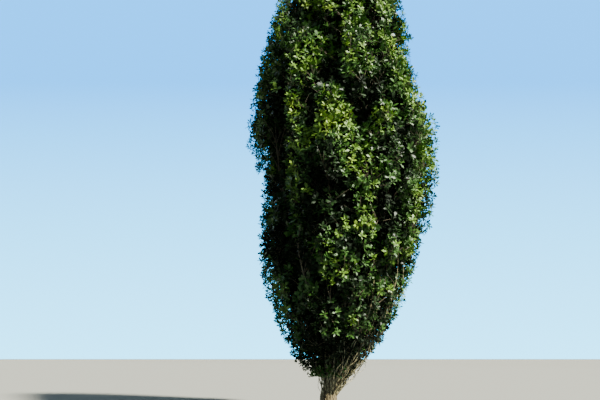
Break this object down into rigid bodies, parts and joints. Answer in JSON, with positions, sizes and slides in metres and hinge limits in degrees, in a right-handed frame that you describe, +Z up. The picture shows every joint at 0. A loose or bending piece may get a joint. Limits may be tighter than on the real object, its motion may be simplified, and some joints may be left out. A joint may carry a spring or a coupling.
{
  "type": "columnar oak",
  "caption": "Whole upright oak with a narrow column of dense foliage, a short flared trunk that forks low, and steep slender boughs.",
  "frame": {"origin": "middle of the flat cut under the trunk, at ground level", "axes": "+Z up along the trunk, +X to the right of the picture, the side that the upper crown leans to, and +Y away from the viewer"},
  "size_m": [5.1305, 5.0911, 14.3783],
  "materials": {
    "bark": "rough furrowed grey-brown bark",
    "foliage": "dense dark green leaves with a waxy sheen"
  },
  "bodies": {
    "root": {"trunk": "bark", "skirt_1_bough": "bark", "skirt_2_bough": "bark", "skirt_3_bough": "bark", "skirt_4_bough": "bark", "skirt_5_bough": "bark", "skirt_6_bough": "bark", "skirt_7_bough": "bark", "waist_1_bough": "bark", "waist_2_bough": "bark", "waist_3_bough": "bark", "waist_4_bough": "bark", "waist_5_bough": "bark", "waist_6_bough": "bark", "waist_7_bough": "bark", "shoulder_1_bough": "bark", "shoulder_2_bough": "bark", "shoulder_3_bough": "bark", "shoulder_4_bough": "bark", "shoulder_5_bough": "bark", "shoulder_6_bough": "bark", "shoulder_7_bough": "bark", "crest_1_bough": "bark", "crest_2_bough": "bark", "crest_3_bough": "bark", "crest_4_bough": "bark", "crest_5_bough": "bark", "skirt_1_mass": "foliage", "skirt_2_mass": "foliage", "skirt_3_mass": "foliage", "skirt_4_mass": "foliage", "skirt_5_mass": "foliage", "skirt_6_mass": "foliage", "skirt_7_mass": "foliage", "waist_1_mass": "foliage", "waist_2_mass": "foliage", "waist_3_mass": "foliage", "waist_4_mass": "foliage", "waist_5_mass": "foliage", "waist_6_mass": "foliage", "waist_7_mass": "foliage", "shoulder_1_mass": "foliage", "shoulder_2_mass": "foliage", "shoulder_3_mass": "foliage", "shoulder_4_mass": "foliage", "shoulder_5_mass": "foliage", "shoulder_6_mass": "foliage", "shoulder_7_mass": "foliage", "crest_1_mass": "foliage", "crest_2_mass": "foliage", "crest_3_mass": "foliage", "crest_4_mass": "foliage", "crest_5_mass": "foliage", "spire_mass": "foliage"}
  },
  "joints": []
}
